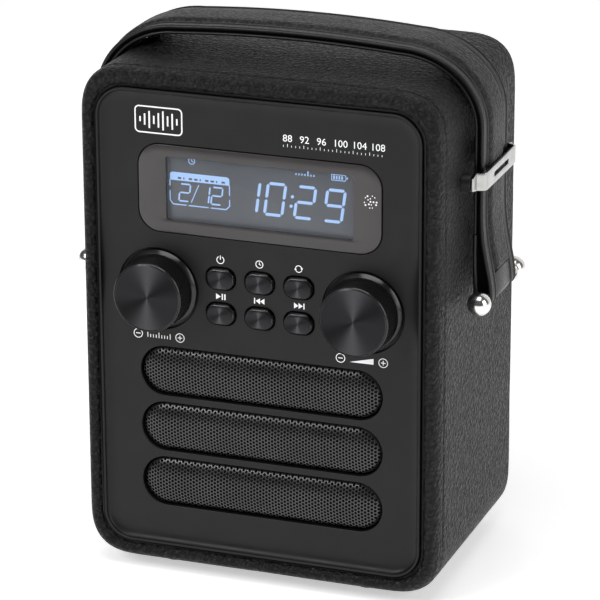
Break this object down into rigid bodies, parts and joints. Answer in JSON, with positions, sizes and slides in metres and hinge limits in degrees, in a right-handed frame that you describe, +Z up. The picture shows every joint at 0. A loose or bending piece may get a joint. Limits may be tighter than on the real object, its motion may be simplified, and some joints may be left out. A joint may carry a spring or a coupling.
{
  "type": "portable radio",
  "caption": "Upright leather-covered portable radio with a dished front panel, lit display, two knobs, push buttons, slotted speaker grille and a sliding carrying strap.",
  "frame": {"origin": "on the ground under the middle of the whole object", "axes": "+Z up, the front panel faces -Y, +X to the right as the front is seen"},
  "size_m": [0.1356, 0.0856, 0.1731],
  "materials": {
    "black_leather": "pebbled leatherette, satin",
    "strap_leather": "smooth coated strap with polished edges",
    "pad_leather": "pebbled padded centre of the strap",
    "fibreboard": "raw fibreboard",
    "panel_black": "fine satin moulding",
    "smoked_lens": "smoked clear window",
    "lcd_grey": "backlit display, grey with pale blue segments",
    "white_diffuser": "milky light guide",
    "mesh_steel": "black perforated sheet",
    "speaker_steel": "zinc plated pressing",
    "speaker_paper": "pulp cone",
    "ferrite": "ground ferrite",
    "board_green": "circuit board with solder mask",
    "component_black": "moulded component",
    "back_black": "textured moulding",
    "cell_wrap": "shrink wrapped cell",
    "plated_steel": "bright plated steel",
    "screw_steel": "black oxide steel",
    "lead_sleeve": "insulated lead",
    "antenna_sleeve": "insulated aerial wire",
    "knob_black": "polished black moulding",
    "spun_metal": "spun disc, black anodised",
    "button_metal": "spun key top, black",
    "chrome": "bright chrome",
    "post_black": "black turned post",
    "rubber": "soft black rubber"
  },
  "bodies": {
    "case": {"leather_wrap": "black_leather", "cabinet_sleeve": "fibreboard", "front_panel": "panel_black", "display_lens": "smoked_lens", "lcd_panel": "lcd_grey", "lcd_backlight": "white_diffuser", "speaker_grille": "mesh_steel", "speaker_basket": "speaker_steel", "speaker_cone": "speaker_paper", "speaker_magnet": "ferrite", "control_board": "board_green", "main_board": "board_green", "back_panel": "back_black", "battery_tray": "back_black", "battery_pack": "cell_wrap", "usb_socket": "plated_steel", "card_slot": "plated_steel", "charge_socket": "plated_steel", "headphone_socket": "component_black", "speaker_lead": "lead_sleeve", "battery_lead": "lead_sleeve", "antenna_wire": "antenna_sleeve", "tuning_encoder": "plated_steel", "volume_encoder": "plated_steel", "foot_front_left": "rubber", "keeper_post_front_left": "post_black", "foot_front_right": "rubber", "keeper_post_front_right": "post_black", "foot_rear_left": "rubber", "keeper_post_rear_left": "post_black", "foot_rear_right": "rubber", "keeper_post_rear_right": "post_black", "keeper_left": "chrome", "back_screw_lower_left": "screw_steel", "back_screw_upper_left": "screw_steel", "keeper_right": "chrome", "back_screw_lower_right": "screw_steel", "back_screw_upper_right": "screw_steel"},
    "tuning_control": {"tuning_knob": "knob_black", "tuning_knob_cap": "spun_metal", "tuning_shaft": "plated_steel"},
    "volume_control": {"volume_knob": "knob_black", "volume_knob_cap": "spun_metal", "volume_shaft": "plated_steel"},
    "key_upper_left": {"button_upper_left": "button_metal"},
    "key_upper_middle": {"button_upper_middle": "button_metal"},
    "key_upper_right": {"button_upper_right": "button_metal"},
    "key_lower_left": {"button_lower_left": "button_metal"},
    "key_lower_middle": {"button_lower_middle": "button_metal"},
    "key_lower_right": {"button_lower_right": "button_metal"},
    "handle": {"handle_strap": "strap_leather", "strap_pad": "pad_leather", "strap_pin_left": "plated_steel", "strap_pin_right": "plated_steel", "strap_ball_front_left": "chrome", "strap_ball_front_right": "chrome", "strap_ball_rear_left": "chrome", "strap_ball_rear_right": "chrome"},
    "door": {"battery_door": "back_black"}
  },
  "joints": [
    {"name": "tuning_turn", "type": "hinge", "parent": "case", "child": "tuning_control", "pos_m": [-0.0333, -0.03975, 0.0937], "axis": [0, 1, 0], "continuous": true},
    {"name": "volume_turn", "type": "hinge", "parent": "case", "child": "volume_control", "pos_m": [0.0333, -0.03975, 0.0937], "axis": [0, 1, 0], "continuous": true},
    {"name": "press_upper_left", "type": "slide", "parent": "case", "child": "key_upper_left", "axis": [0, 1, 0], "range_m": [0, 0.0008], "stiffness_N_per_m": 600, "springref_m": -0.001},
    {"name": "press_upper_middle", "type": "slide", "parent": "case", "child": "key_upper_middle", "axis": [0, 1, 0], "range_m": [0, 0.0008], "stiffness_N_per_m": 600, "springref_m": -0.001},
    {"name": "press_upper_right", "type": "slide", "parent": "case", "child": "key_upper_right", "axis": [0, 1, 0], "range_m": [0, 0.0008], "stiffness_N_per_m": 600, "springref_m": -0.001},
    {"name": "press_lower_left", "type": "slide", "parent": "case", "child": "key_lower_left", "axis": [0, 1, 0], "range_m": [0, 0.0008], "stiffness_N_per_m": 600, "springref_m": -0.001},
    {"name": "press_lower_middle", "type": "slide", "parent": "case", "child": "key_lower_middle", "axis": [0, 1, 0], "range_m": [0, 0.0008], "stiffness_N_per_m": 600, "springref_m": -0.001},
    {"name": "press_lower_right", "type": "slide", "parent": "case", "child": "key_lower_right", "axis": [0, 1, 0], "range_m": [0, 0.0008], "stiffness_N_per_m": 600, "springref_m": -0.001},
    {"name": "handle_slide", "type": "slide", "parent": "case", "child": "handle", "axis": [0, 0, 1], "range_m": [0, 0.012]},
    {"name": "door_pull", "type": "slide", "parent": "case", "child": "door", "axis": [0, 1, 0], "range_m": [0, 0.02]}
  ]
}
